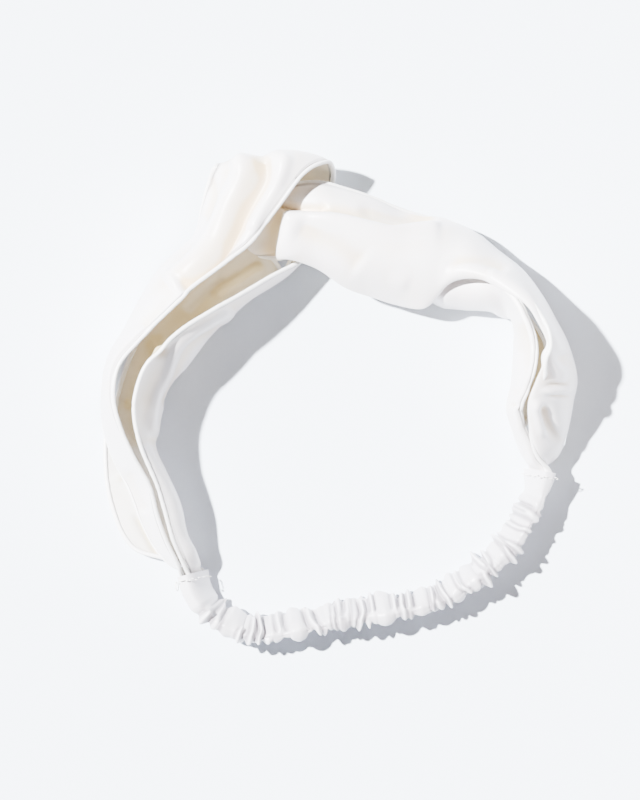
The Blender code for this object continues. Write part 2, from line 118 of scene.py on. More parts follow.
LEFT_KNOT = [
    ((-13.7, 84.0, 33.5), (-22.6, 87.4, 35.0), (-33.5, 87.2, 32.0), (-45.4, 84.8, 22.5)),
    ((-5.6, 87.6, 26.0), (-19.5, 91.2, 26.5), (-32.0, 89.4, 24.0), (-43.6, 86.0, 16.0)),
    ((-3.2, 84.0, 18.5), (-14.5, 86.2, 16.5), (-26.0, 85.0, 14.0), (-36.0, 81.5, 10.5)),
    ((-3.4, 79.0, 15.8), (-9.6, 80.0, 13.8), (-16.2, 80.4, 12.8), (-22.6, 79.8, 12.2)),
    ((-3.8, 72.0, 14.2), (-7.6, 72.4, 12.6), (-11.6, 73.2, 12.0), (-15.4, 73.8, 12.6)),
    ((-5.0, 63.0, 14.0), (-8.8, 62.8, 12.0), (-12.8, 62.4, 10.6), (-16.4, 62.0, 10.2)),
    ((-8.8, 55.0, 14.6), (-11.4, 54.4, 11.8), (-14.0, 54.2, 9.6), (-16.6, 54.0, 8.2)),
    ((-12.8, 51.2, 15.6), (-14.4, 50.2, 12.4), (-16.2, 49.4, 9.2), (-18.4, 48.8, 6.2)),
    ((-17.8, 48.2, 18.6), (-18.2, 46.6, 13.6), (-19.6, 45.4, 8.6), (-21.6, 44.6, 3.8)),
]
LEFT_BACK = [
    ((-25.2, 44.4, 23.5), (-24.2, 42.4, 15.2), (-26.2, 42.6, 6.4), (-31.8, 56.6, 1.9)),
    ((-35.2, 38.4, 29.0), (-33.6, 36.4, 19.4), (-35.2, 36.8, 7.6), (-43.5, 50.0, 3.0)),
    ((-46.3, 32.2, 34.0), (-43.4, 29.4, 23.0), (-43.2, 28.6, 8.4), (-54.0, 43.0, 2.6)),
    ((-55.5, 26.6, 36.5), (-51.6, 23.0, 24.8), (-50.2, 21.0, 8.8), (-63.5, 36.0, 2.4)),
    ((-64.8, 19.0, 38.0), (-59.8, 14.6, 26.0), (-57.2, 11.2, 9.4), (-72.5, 25.5, 2.2)),
    ((-72.2, 11.0, 38.0), (-67.0, 7.6, 26.4), (-63.0, 3.2, 9.8), (-78.2, 14.0, 2.0)),
    ((-75.9, 0.7, 36.8), (-70.8, -1.4, 25.8), (-66.0, -5.2, 9.8), (-81.6, 4.5, 1.8)),
    ((-75.9, -6.2, 35.6), (-70.6, -8.4, 24.8), (-67.6, -12.2, 9.4), (-82.8, -3.2, 1.8)),
    ((-75.1, -11.5, 34.6), (-70.4, -13.4, 23.8), (-69.2, -16.4, 9.0), (-84.6, -9.0, 1.8)),
    ((-73.6, -16.8, 33.4), (-69.2, -18.0, 22.6), (-70.4, -18.8, 7.4), (-86.0, -14.0, 2.0)),
    ((-71.8, -21.5, 32.2), (-67.6, -22.2, 21.6), (-70.0, -22.6, 6.4), (-86.2, -21.4, 2.4)),
    ((-67.3, -31.5, 28.8), (-63.0, -31.4, 19.0), (-67.2, -32.2, 5.2), (-85.6, -31.0, 3.0)),
    ((-64.4, -40.3, 26.0), (-59.2, -40.0, 16.6), (-64.2, -41.6, 4.0), (-83.6, -40.6, 3.4)),
    ((-61.4, -51.1, 22.8), (-56.7, -50.6, 14.2), (-61.6, -52.8, 3.4), (-79.4, -51.0, 3.6)),
    ((-58.6, -57.8, 19.0), (-53.4, -57.2, 12.4), (-57.6, -58.8, 3.4), (-72.6, -57.6, 3.6)),
    ((-56.6, -62.6, 15.4), (-52.6, -61.8, 10.6), (-52.4, -61.6, 6.4), (-56.6, -61.4, 4.0)),
]
RIGHT_FRONT = [
    ((73.3, -20.4, 18.4), (76.6, -20.4, 15.4), (79.6, -21.2, 10.0), (79.6, -22.4, 4.6)),
    ((70.3, -12.2, 24.0), (76.0, -12.4, 22.0), (82.0, -13.0, 14.0), (83.2, -13.7, 4.5)),
    ((69.4, -2.6, 30.0), (76.6, -1.9, 29.0), (84.4, -1.9, 17.5), (84.6, -2.4, 4.0)),
    ((72.2, 6.3, 35.0), (78.4, 6.8, 33.0), (86.2, 7.2, 19.0), (85.4, 7.2, 4.0)),
    ((76.6, 17.6, 36.5), (79.9, 18.9, 32.0), (83.8, 19.3, 17.6), (82.6, 18.9, 3.4)),
    ((72.6, 27.4, 36.8), (75.9, 28.7, 31.5), (79.2, 28.6, 17.2), (78.4, 28.2, 3.0)),
    ((68.1, 34.6, 36.4), (71.6, 37.2, 31.5), (74.4, 37.4, 16.8), (73.6, 37.0, 3.0)),
    ((60.3, 39.8, 34.4), (63.4, 43.6, 31.5), (67.0, 46.2, 17.4), (66.8, 46.2, 3.0)),
    ((51.1, 43.8, 31.2), (54.0, 48.8, 30.5), (57.8, 53.0, 17.8), (58.3, 53.2, 3.2)),
    ((40.7, 42.4, 27.0), (44.2, 51.0, 30.0), (47.6, 59.0, 20.5), (48.8, 60.4, 5.0)),
    ((31.8, 33.4, 18.0), (33.2, 45.4, 28.5), (35.2, 58.6, 27.0), (37.0, 66.4, 9.5)),
    ((23.3, 33.6, 14.5), (23.3, 46.6, 28.0), (23.3, 59.4, 28.5), (23.3, 68.8, 12.5)),
    ((11.8, 37.0, 15.5), (11.8, 49.0, 28.5), (11.9, 62.0, 29.5), (12.2, 73.2, 16.0)),
    ((1.9, 40.6, 18.5), (1.2, 51.0, 29.0), (0.8, 64.4, 30.0), (1.1, 76.8, 19.5)),
    ((-8.1, 47.4, 22.5), (-9.2, 55.4, 29.0), (-9.6, 67.0, 29.5), (-9.3, 79.0, 22.0)),
    ((-18.0, 51.0, 24.5), (-19.8, 57.2, 28.0), (-21.6, 66.6, 26.6), (-22.6, 77.2, 20.6)),
]
RIGHT_KNOT = [
    ((-24.0, 51.8, 17.5), (-28.0, 56.8, 18.5), (-29.4, 64.6, 18.0), (-29.4, 74.0, 15.6)),
    ((-30.6, 52.6, 10.6), (-35.4, 57.6, 11.0), (-34.6, 64.6, 10.6), (-31.2, 72.2, 10.4)),
    ((-27.0, 53.4, 6.2), (-31.0, 58.4, 5.6), (-28.6, 65.0, 5.4), (-24.0, 71.4, 6.0)),
]
RIGHT_BACK = [
    ((-13.0, 51.6, 2.8), (-14.4, 57.6, 2.8), (-14.0, 64.2, 3.0), (-10.6, 70.0, 3.6)),
    ((0.0, 47.6, 3.4), (0.4, 54.2, 3.0), (1.2, 61.0, 3.2), (3.0, 67.0, 3.8)),
    ((12.0, 45.4, 8.0), (12.4, 51.0, 4.8), (13.4, 56.6, 3.2), (15.0, 61.4, 3.0)),
    ((23.0, 44.8, 16.4), (24.2, 45.4, 11.6), (25.2, 44.6, 6.6), (26.0, 43.4, 2.8)),
    ((33.0, 45.6, 20.4), (34.4, 42.0, 20.2), (35.6, 37.2, 17.6), (36.0, 34.2, 5.4)),
    ((43.0, 47.0, 22.4), (44.0, 41.8, 22.4), (44.8, 36.2, 19.6), (45.2, 32.6, 6.4)),
    ((53.6, 45.8, 24.4), (54.4, 41.0, 24.2), (55.0, 35.6, 20.4), (55.2, 32.0, 6.0)),
    ((62.6, 38.2, 30.6), (62.2, 35.8, 22.4), (61.6, 32.0, 12.0), (61.2, 29.2, 3.6)),
    ((68.0, 30.6, 34.0), (65.6, 28.2, 23.4), (64.4, 26.2, 9.6), (69.0, 29.4, 3.0)),
    ((71.0, 22.0, 35.0), (66.8, 20.6, 23.4), (64.6, 19.6, 8.8), (75.5, 21.6, 2.6)),
    ((71.2, 13.6, 35.0), (66.6, 13.2, 23.4), (64.6, 12.8, 8.6), (77.0, 13.4, 2.4)),
    ((68.6, 5.0, 33.0), (65.2, 5.0, 21.6), (64.2, 4.8, 8.2), (76.0, 4.6, 2.4)),
    ((65.0, -3.4, 28.6), (62.8, -3.8, 19.2), (62.6, -4.2, 8.4), (72.0, -4.2, 2.6)),
    ((66.6, -10.6, 24.0), (64.6, -11.0, 17.2), (64.0, -11.4, 9.6), (66.2, -11.4, 3.2)),
    ((69.4, -18.0, 19.4), (68.0, -18.4, 14.4), (66.8, -19.0, 9.0), (66.8, -19.4, 3.6)),
    ((71.4, -23.4, 16.2), (70.4, -23.6, 12.2), (69.6, -24.0, 7.8), (69.4, -24.2, 3.6)),
]


# ---------------------------------------------------------------- maths
def unit(v):
    v = np.asarray(v, float)
    return v / np.maximum(np.linalg.norm(v, axis=-1, keepdims=True), 1e-12)


def smooth(t):
    t = np.clip(t, 0.0, 1.0)
    return t * t * (3 - 2 * t)


def catmull(rows, places):
    """Catmull-Rom curve through rows at each place, a row number that may be fractional."""
    rows = np.array(rows, float)
    padded = np.concatenate([[2 * rows[0] - rows[1]], rows, [2 * rows[-1] - rows[-2]]])
    places = np.asarray(places, float)
    i = np.clip(places.astype(int), 0, len(rows) - 2)
    f = (places - i).reshape((-1,) + (1,) * (rows.ndim - 1))
    p0, p1, p2, p3 = (padded[i + k] for k in range(4))
    return 0.5 * (2 * p1 + (p2 - p0) * f + (2 * p0 - 5 * p1 + 4 * p2 - p3) * f ** 2
                  + (3 * p1 - p0 - 3 * p2 + p3) * f ** 3)


def even_places(rows, samples):
    """Row numbers at even steps of the mean length along the rows."""
    fine = np.linspace(0, len(rows) - 1, 40 * len(rows))
    line = catmull(rows, fine).mean(axis=1)
    reach = np.concatenate([[0], np.cumsum(np.linalg.norm(np.diff(line, axis=0), axis=1))])
    return np.interp(np.linspace(0, reach[-1], samples), reach, fine)


def cubic_across(four, cells):
    """Points along the cubic through the four points of each row."""
    v = np.linspace(0, 1, cells + 1)
    basis = np.stack([-4.5 * (v - 1 / 3) * (v - 2 / 3) * (v - 1), 13.5 * v * (v - 2 / 3) * (v - 1),
                      -13.5 * v * (v - 1 / 3) * (v - 1), 4.5 * v * (v - 1 / 3) * (v - 2 / 3)])
    return np.einsum("kc,akd->acd", basis, four)


def grid_normals(grid):
    du, dv = np.gradient(grid, axis=0), np.gradient(grid, axis=1)
    return unit(np.cross(du, dv))


def blur(field, along, across):
    """Running mean of a grid, twice, by so many cells each way."""
    out = np.array(field, float)
    for axis, reach in ((0, along), (1, across)):
        for _ in range(2):
            if reach < 1:
                continue
            pad = [(0, 0)] * out.ndim
            pad[axis] = (reach, reach)
            total = np.cumsum(np.pad(out, pad, mode="edge"), axis=axis)
            total = np.concatenate([np.zeros_like(np.take(total, [0], axis)), total], axis)
            width = 2 * reach + 1
            n = out.shape[axis]
            out = (np.take(total, range(width, width + n), axis)
                   - np.take(total, range(n), axis)) / width
    return out


def waves(x, y, seed, count=7, low=0.6, high=2.2):
    """Smooth unrepeating noise, mostly between -1.5 and 1.5, from a few sine waves."""
    rng = np.random.default_rng(seed)
    total = np.zeros(np.broadcast(x, y).shape)
    for _ in range(count):
        angle, pace = rng.uniform(0, 2 * math.pi), rng.uniform(low, high)
        total += np.sin((x * math.cos(angle) + y * math.sin(angle)) * pace
                        + rng.uniform(0, 2 * math.pi))
    return total / math.sqrt(count)


def to_world(points):
    c, s = math.cos(LOOP_TURN), math.sin(LOOP_TURN)
    p = np.array(points, float).reshape(-1, 3)
    x, y = p[:, 0] * c - p[:, 1] * s, p[:, 0] * s + p[:, 1] * c
    return np.stack([x, y, np.maximum(p[:, 2], 0.0)], axis=1) * MM + SHIFT


def near_line(points, line, ends=4.0):
    """Distance in plan of each point from a curve through a line's points, the side it is
    on, and a factor that falls from 1 to 0 at the curve's ends."""
    line = catmull(line, np.linspace(0, len(line) - 1, 12 * (len(line) - 1) + 1))
    best = np.full(points.shape[:-1], 1e9)
    side = np.zeros(points.shape[:-1])
    share = np.zeros(points.shape[:-1])
    reach = np.concatenate([[0], np.cumsum(np.linalg.norm(np.diff(line, axis=0), axis=1))])
    for k in range(len(line) - 1):
        a, d = line[k], line[k + 1] - line[k]
        rel = points[..., :2] - a
        t = np.clip((rel @ d) / (d @ d), 0, 1)
        gap = rel - t[..., None] * d
        far = np.linalg.norm(gap, axis=-1)
        closer = far < best
        best = np.where(closer, far, best)
        side = np.where(closer, np.sign(d[0] * rel[..., 1] - d[1] * rel[..., 0]), side)
        share = np.where(closer, reach[k] + t * (reach[k + 1] - reach[k]), share)
    fade = smooth(share / ends) * smooth((reach[-1] - share) / ends)
    return best, side, fade


# ---------------------------------------------------------------- mesh
def make_mesh(name, points, faces, material, slot, shade_tint=None, coords=None, seam=None):
    mesh = bpy.data.meshes.new(name)
    mesh.from_pydata([tuple(p) for p in to_world(points)], [], faces)
    mesh.update()
    mesh.polygons.foreach_set("use_smooth", np.ones(len(mesh.polygons), bool))
    mesh.materials.append(material)
    if shade_tint is not None:
        # painted shade of the folds, stored as the depth attribute
        layer = mesh.attributes.new("depth", "FLOAT", "POINT")
        layer.data.foreach_set("value", np.asarray(shade_tint, np.float32).ravel())
    if seam is not None:
        # painted dark line of shade in the groove beside a piping, stored as the seam attribute
        layer = mesh.attributes.new("seam", "FLOAT", "POINT")
        layer.data.foreach_set("value", np.asarray(seam, np.float32).ravel())
    if coords is not None:
        layer = mesh.uv_layers.new(name="cloth")
        index = np.zeros(len(mesh.loops), np.int32)
        mesh.loops.foreach_get("vertex_index", index)
        layer.data.foreach_set("uv", np.asarray(coords, np.float32)[index].ravel())
    obj = bpy.data.objects.new(name, mesh)
    bpy.context.scene.collection.objects.link(obj)
    return obj


def slab(grid, normals, low, high):
    """Closed slab over a grid between two offsets along its normals."""
    n, m = grid.shape[:2]
    points = np.concatenate([(grid + normals * high).reshape(-1, 3),
                             (grid + normals * low).reshape(-1, 3)])
    i, j = np.meshgrid(np.arange(n - 1), np.arange(m - 1), indexing="ij")
    a = (i * m + j).ravel()
    back = n * m
    top = np.stack([a, a + m, a + m + 1, a + 1], axis=1)
    low_side = np.stack([back + a, back + a + 1, back + a + m + 1, back + a + m], axis=1)
    faces = [tuple(f) for f in np.concatenate([top, low_side]).tolist()]
    for i in range(n - 1):
        a, b = i * m, (i + 1) * m
        faces.append((a, back + a, back + b, b))
        a, b = a + m - 1, b + m - 1
        faces.append((a, b, back + b, back + a))
    for j in range(m - 1):
        faces.append((j, j + 1, back + j + 1, back + j))
        a = (n - 1) * m + j
        faces.append((a, back + a, back + a + 1, a + 1))
    return points, faces


def tube(ring, caps=True, start=0):
    """Skin over rings of points, with its points numbered from start."""
    n, sides = ring.shape[:2]
    i, j = np.meshgrid(np.arange(n - 1), np.arange(sides), indexing="ij")
    a, b, k = i * sides, (i + 1) * sides, (j + 1) % sides
    faces = np.stack([a + j, b + j, b + k, a + k], axis=-1).reshape(-1, 4) + start
    faces = [tuple(f) for f in faces.tolist()]
    if caps:
        faces.append(tuple(start + j for j in range(sides)))
        faces.append(tuple(start + (n - 1) * sides + j for j in reversed(range(sides))))
    return ring.reshape(-1, 3), faces


def pipe(outer, inner):
    """Closed wall between two skins, open at both ends."""
    n, sides = outer.shape[:2]
    points, faces = tube(outer, caps=False)
    more, inside = tube(inner, caps=False, start=n * sides)
    faces += [tuple(reversed(f)) for f in inside]
    back = n * sides
    for i in (0, n - 1):
        for j in range(sides):
            a, b = i * sides + j, i * sides + (j + 1) % sides
            faces.append((a, b, back + b, back + a) if i == 0 else (a, back + a, back + b, b))
    return np.concatenate([points, more]), faces


def rings(centres, side_a, side_b, radius, sides):
    """A circle of points round each centre, in the plane of its two sides."""
    angles = 2 * math.pi * np.arange(sides) / sides
    radius = np.broadcast_to(np.asarray(radius, float), (len(centres),))[:, None, None]
    return (centres[:, None] + radius * (np.cos(angles)[None, :, None] * side_a[:, None]
                                         + np.sin(angles)[None, :, None] * side_b[:, None]))


# ---------------------------------------------------------------- materials
def satin(name, colour, fold_shade, roughness=0.36, weave=1.0, sheen=0.25):
    """Woven satin: fine twill bump, broad tone changes, painted shade in a second colour where the
    depth attribute marks a fold, and a painted dark line of shade in the groove beside a stitched
    piping."""
    material = bpy.data.materials.new(name)
    material.use_nodes = True
    nodes, links = material.node_tree.nodes, material.node_tree.links
    shader = nodes["Principled BSDF"]
    shader.inputs["Metallic"].default_value = 0.0
    shader.inputs["Roughness"].default_value = roughness
    shader.inputs["Sheen Weight"].default_value = sheen
    shader.inputs["Sheen Roughness"].default_value = 0.45
    uv = nodes.new("ShaderNodeUVMap")
    uv.uv_map = "cloth"
    # the depth attribute carries painted shade for folds, hollows and the closed pocket
    depth = nodes.new("ShaderNodeAttribute")
    depth.attribute_name = "depth"
    mottle = nodes.new("ShaderNodeTexNoise")
    mottle.inputs["Scale"].default_value = 0.06
    mottle.inputs["Detail"].default_value = 3.0
    links.new(uv.outputs["UV"], mottle.inputs["Vector"])
    spread = nodes.new("ShaderNodeMapRange")
    spread.inputs["From Min"].default_value = 0.35
    spread.inputs["From Max"].default_value = 0.65
    spread.inputs["To Min"].default_value = -0.06
    spread.inputs["To Max"].default_value = 0.08
    links.new(mottle.outputs["Fac"], spread.inputs["Value"])
    add = nodes.new("ShaderNodeMath")
    add.operation = "ADD"
    add.use_clamp = True
    links.new(depth.outputs["Fac"], add.inputs[0])
    links.new(spread.outputs["Result"], add.inputs[1])
    # painted shade: the cloth colour turns towards the fold_shade colour by depth, plus random
    # tone
    mix = nodes.new("ShaderNodeMix")
    mix.data_type = "RGBA"
    mix.inputs[6].default_value = (*colour, 1.0)
    mix.inputs[7].default_value = (*fold_shade, 1.0)
    links.new(add.outputs[0], mix.inputs[0])
    # the seam attribute carries a painted dark line of shade in the groove beside a piping
    seam = nodes.new("ShaderNodeAttribute")
    seam.attribute_name = "seam"
    # painted shade colour of that groove line
    line = nodes.new("ShaderNodeMix")
    line.data_type = "RGBA"
    line.inputs[7].default_value = (0.12, 0.10, 0.11, 1.0)
    links.new(seam.outputs["Fac"], line.inputs[0])
    links.new(mix.outputs[2], line.inputs[6])
    links.new(line.outputs[2], shader.inputs["Base Color"])
    # threads: a diagonal twill of about 0.4 mm, and longer uneven slubs
    warp = nodes.new("ShaderNodeTexWave")
    warp.wave_type, warp.bands_direction = "BANDS", "DIAGONAL"
    warp.inputs["Scale"].default_value = 1.1
    warp.inputs["Distortion"].default_value = 0.6
    warp.inputs["Detail"].default_value = 1.0
    links.new(uv.outputs["UV"], warp.inputs["Vector"])
    slub = nodes.new("ShaderNodeTexNoise")
    slub.inputs["Scale"].default_value = 0.55
    slub.inputs["Detail"].default_value = 4.0
    stretch = nodes.new("ShaderNodeMapping")
    stretch.inputs["Scale"].default_value = (1.0, 5.0, 1.0)
    links.new(uv.outputs["UV"], stretch.inputs["Vector"])
    links.new(stretch.outputs["Vector"], slub.inputs["Vector"])
    blend = nodes.new("ShaderNodeMath")
    blend.operation = "MULTIPLY_ADD"
    blend.inputs[1].default_value = 0.45
    links.new(slub.outputs["Fac"], blend.inputs[0])
    links.new(warp.outputs["Fac"], blend.inputs[2])
    bump = nodes.new("ShaderNodeBump")
    bump.inputs["Strength"].default_value = 0.10 * weave
    bump.inputs["Distance"].default_value = 0.0001
    links.new(blend.outputs[0], bump.inputs["Height"])
    links.new(bump.outputs["Normal"], shader.inputs["Normal"])
    return material


def plain(name, colour, roughness, scale=900.0, strength=0.2):
    """Matt thread or braid with a fine grain."""
    material = bpy.data.materials.new(name)
    material.use_nodes = True
    nodes, links = material.node_tree.nodes, material.node_tree.links
    shader = nodes["Principled BSDF"]
    shader.inputs["Metallic"].default_value = 0.0
    shader.inputs["Roughness"].default_value = roughness
    shader.inputs["Sheen Weight"].default_value = 0.2
    place = nodes.new("ShaderNodeTexCoord")
    noise = nodes.new("ShaderNodeTexNoise")
    noise.inputs["Scale"].default_value = scale
    links.new(place.outputs["Object"], noise.inputs["Vector"])
    ramp = nodes.new("ShaderNodeMix")
    ramp.data_type = "RGBA"
    ramp.inputs[6].default_value = (*(c * 0.94 for c in colour), 1.0)
    ramp.inputs[7].default_value = (*colour, 1.0)
    links.new(noise.outputs["Fac"], ramp.inputs[0])
    links.new(ramp.outputs[2], shader.inputs["Base Color"])
    bump = nodes.new("ShaderNodeBump")
    bump.inputs["Strength"].default_value = strength
    bump.inputs["Distance"].default_value = 0.0001
    links.new(noise.outputs["Fac"], bump.inputs["Height"])
    links.new(bump.outputs["Normal"], shader.inputs["Normal"])
    return material


# each satin's second colour is painted shade: golden in the strips' folds and pocket, grey in the
# casing's gathers
face_satin = satin("satin_face", (0.92, 0.87, 0.865), (0.80, 0.62, 0.38), weave=1.6)
lining_satin = satin("satin_lining", (0.91, 0.87, 0.82), (0.74, 0.61, 0.36), 0.40)
piping_satin = satin("satin_piping", (0.94, 0.92, 0.90), (0.86, 0.78, 0.66), 0.34, 0.7)
casing_satin = satin("satin_casing", (0.80, 0.765, 0.785), (0.34, 0.31, 0.33), 0.34)
cotton = plain("cotton", (0.86, 0.85, 0.82), 0.9)
elastic = plain("elastic", (0.86, 0.86, 0.85), 0.7, 700.0, 0.5)
thread = plain("thread", (0.90, 0.87, 0.82), 0.5, 1500.0, 0.3)


# ---------------------------------------------------------------- casing's centre line
CASING_LINE = catmull(CASING_PATH, np.linspace(0, len(CASING_PATH) - 1, 400))
CASING_REACH = np.concatenate([[0], np.cumsum(np.linalg.norm(np.diff(CASING_LINE, axis=0),
                                                             axis=1))])
CASING_LENGTH = CASING_REACH[-1]


def casing_frames(samples, first, last):
    """Places, centres, and the tall and thick ways of the casing between two shares of it."""
    at = np.linspace(first * CASING_LENGTH, last * CASING_LENGTH, samples)
    centre = np.stack([np.interp(at, CASING_REACH, CASING_LINE[:, k]) for k in (0, 1)]
                      + [np.full(samples, CASING_REST)], axis=1)
    tangent = unit(np.gradient(centre, axis=0))
    outward = np.stack([tangent[:, 1], -tangent[:, 0], np.zeros(samples)], axis=1)
    up = np.array([0.0, 0.0, 1.0])
    lean = np.full((samples, 1), LEAN)
    tall = np.cos(lean) * up + np.sin(lean) * outward
    thick = np.cos(lean) * outward - np.sin(lean) * up
    return at / CASING_LENGTH, centre, tall, thick


def seam_rows(at_end, depths, high, low):
    """Rows of a strip end inside the casing's mouth, so many millimetres deep in it."""
    rows = []
    for depth in depths:
        share = 1 - depth / CASING_LENGTH if at_end else depth / CASING_LENGTH
        _, centre, tall, thick = casing_frames(3, max(share - 0.002, 0), min(share + 0.002, 1))
        rows.append([centre[1] + tall[1] * (high[0] + (low[0] - high[0]) * k / 3)
                     + thick[1] * (high[1] + (low[1] - high[1]) * k / 3) for k in range(4)])
    return rows


# ---------------------------------------------------------------- strips
# Folds of each strip.  Each is a kind, the first and last row it is on, its line in plan,
# its half width and its height, in millimetres; a step rises on the left of its line, and a
# shade_tint is only painted shade on the cloth, so its height is its strength.  Valleys and
# the low side of a step get painted shade too.
LEFT_FOLDS = [
    # knot: a soft lump, a slope down from it with painted shade on it, and a valley along the
    # slope's foot
    ("ridge", 10, 19, [(-29, 92), (-28, 86), (-28, 79), (-34, 69), (-40, 57), (-45, 49),
                       (-60, 39)], 3.0, -3.8),
    ("shade_tint", 10, 18, [(-31, 90), (-32, 82), (-37, 71), (-42, 60), (-49, 50), (-60, 41)],
     3.2, 0.62),
    ("ridge", 10, 19, [(-38, 90), (-36, 83), (-41, 71), (-46, 60), (-53, 50), (-64, 41)],
     3.4, 3.6),
    ("ridge", 12, 18, [(-20, 91), (-22, 83), (-28, 73), (-34, 61)], 2.6, 1.6),
    ("ridge", 12, 17, [(-49, 84), (-47, 74), (-50, 64)], 2.4, -1.2),
    # long easy swells of the front band
    ("ridge", 5, 12, [(-60, 44), (-70, 31), (-79, 18), (-82, 4)], 4.5, 1.0),
    ("ridge", 6, 12, [(-55, 45), (-66, 33), (-74, 24)], 2.2, -1.0),
    ("ridge", 2, 7, [(-79, -26), (-76, -34), (-72, -44)], 2.0, -0.8),
    # back band: a pleat beside its upper piping
    ("ridge", 25, 34, [(-39, 33), (-47, 28), (-56, 23), (-61, 18), (-64, 9), (-68, 1),
                       (-70, -8), (-70, -16)], 2.0, 1.6),
    ("ridge", 25, 33, [(-42, 29), (-52, 21), (-58, 13), (-62, 4), (-66, -5)], 2.6, -0.8),
    # its flap under the pocket: slanting folds, and a rise where the pocket ends
    ("ridge", 25, 31, [(-28, 50), (-38, 44), (-48, 37)], 1.6, -1.6),
    ("ridge", 25, 31, [(-42, 47), (-52, 38), (-58, 31)], 1.8, 1.6),
    ("ridge", 28, 32, [(-70, 24), (-66, 14)], 2.4, -1.6),
    ("ridge", 31, 34, [(-76, -3.7), (-81.4, -1.1)], 1.6, -1.6),
    # lower flap: soft dimples and a crease beside the front band
    ("ridge", 34, 38, [(-83, -28), (-80, -32)], 1.8, -1.0),
    # painted golden shade along the pocket between the two bands
    ("shade_tint", 25, 34, [(-26, 51), (-38, 44), (-50, 36), (-62, 27), (-71, 16), (-75, 4), (-75.5, -8),
                      (-73, -20)], 6.5, 0.36),
    # painted shade along the crease beside the front band
    ("shade_tint", 35, 40, [(-76.2, -42.5), (-72.8, -49.5), (-69.2, -56.5), (-66.5, -61)], 1.4, 0.75),
    ("ridge", 35, 40, [(-76.5, -42), (-73, -49), (-69, -56), (-66, -60)], 1.2, 0.9),
]
RIGHT_FOLDS = [
    # a slit between the outer flap and the main panel, which stands above it
    ("crease", 13, 19, [(-25, 71), (-14, 70.6), (-3, 70.2)], 1.0, -4.0),
    ("step", 9, 19, [(38, 65), (29, 64.4), (20, 63.2), (15, 64), (7, 65.8), (0, 67.4),
                     (-8, 68.4), (-22, 68.6)], 0.9, 3.6),
    ("ridge", 9, 14, [(35, 67.5), (24, 67), (15, 68), (3, 70.5)], 1.9, -1.6),
    # its rounded end at the knot, with a lower pleat beyond
    ("step", 16, 20, [(-19, 70), (-21, 65), (-22, 60), (-23, 54), (-22.5, 49)], 0.9, 3.0),
    ("ridge", 12, 18, [(-17, 64), (-8, 59), (2, 53), (9, 48)], 5.0, -1.4),
    ("ridge", 8, 13, [(5, 44), (16, 44), (27, 42)], 3.0, 0.8),
    # painted golden shade on the lower pleat, which lies in shadow
    ("shade_tint", 15, 21, [(-17, 82), (-23, 72), (-27, 62), (-28, 50)], 4.5, 0.5),
    # above the crescent, and the long ridge round the shoulder
    ("ridge", 8, 11, [(31, 42), (38, 48), (46, 51), (55, 50), (62, 45)], 2.4, -1.3),
    ("ridge", 5, 10, [(54, 47), (62, 42), (70, 34), (77, 24), (82, 14)], 2.6, 1.2),
    # right side: two short creases across and a long slanting fold below them
    ("crease", 3, 6, [(75, 4.8), (80, 5.0), (85, 4.6)], 0.5, -1.3),
    ("ridge", 3, 6, [(73, 2.6), (80, 2.6), (87, 2.4)], 0.9, 1.2),
    ("crease", 3, 6, [(75, 0.6), (80, 0.6), (85, 0.4)], 0.5, -1.3),
    ("ridge", 2, 5, [(74, -2), (76, -7), (78.5, -13), (81, -19)], 2.2, -2.6),
    ("ridge", 2, 5, [(72, 0), (73.5, -8), (75, -16)], 1.6, 1.4),
    ("ridge", 5, 7, [(75, 20), (78, 12), (84, 6)], 2.2, 1.2),
    # back band beside the slit, and painted golden shade inside the slit
    ("shade_tint", 28, 34, [(68, 30), (72.5, 22), (74.5, 13), (73, 4), (69, -4)], 4.0, 0.6),
    ("crease", 30, 37, [(65, -5), (67.6, -8), (70, -14), (70.8, -19)], 0.8, -1.6),
    ("crease", 31, 35, [(62, -3.2), (66, -3.0), (69, -4.4)], 0.7, -1.2),
    ("ridge", 28, 33, [(66, 18), (67, 10), (66, 2)], 1.8, 0.7),
]
# How far each rim curls under, in degrees at a row; the piping ends up behind the curl.
LEFT_CURLS = {"upper": [(0, 0), (40, 0)],
              "lower": [(0, 0), (23, 0), (25, 110), (32, 120), (33.5, 25), (38, 25), (40, 0)]}
RIGHT_CURLS = {"upper": [(0, 0), (2, 20), (4, 120), (15.5, 150), (17, 60), (18.5, 0), (22, 0),
                         (24, 130), (36, 130), (38, 10), (40, 0)],
               "lower": [(0, 0), (2, 20), (4, 100), (11.5, 110), (13.2, 0), (24, 0), (26, 90),
                         (35, 90), (37, 10), (40, 0)]}
# How much painted golden shade each lining gets by row, where the cloth closes over it.
LINING_SHADE = {"left": [(0, 0), (8, 0), (11, 0.5), (30, 0.35), (33, 0.2), (35, 0), (42, 0)],
               "right": [(0, 0), (13, 0), (16, 0.5), (21, 0.5), (24, 0.1), (27, 0.1), (29, 0.4),
                         (34, 0.4), (36, 0)]}
# Where the right strip's upper rim is drawn in, so that the slit between its two layers
# stands open: the row, how many rows it spreads over, and by how many millimetres.
SLIT_DRAWS = [(6.0, 2.0, 1.5), (30.5, 3.0, 1.5)]


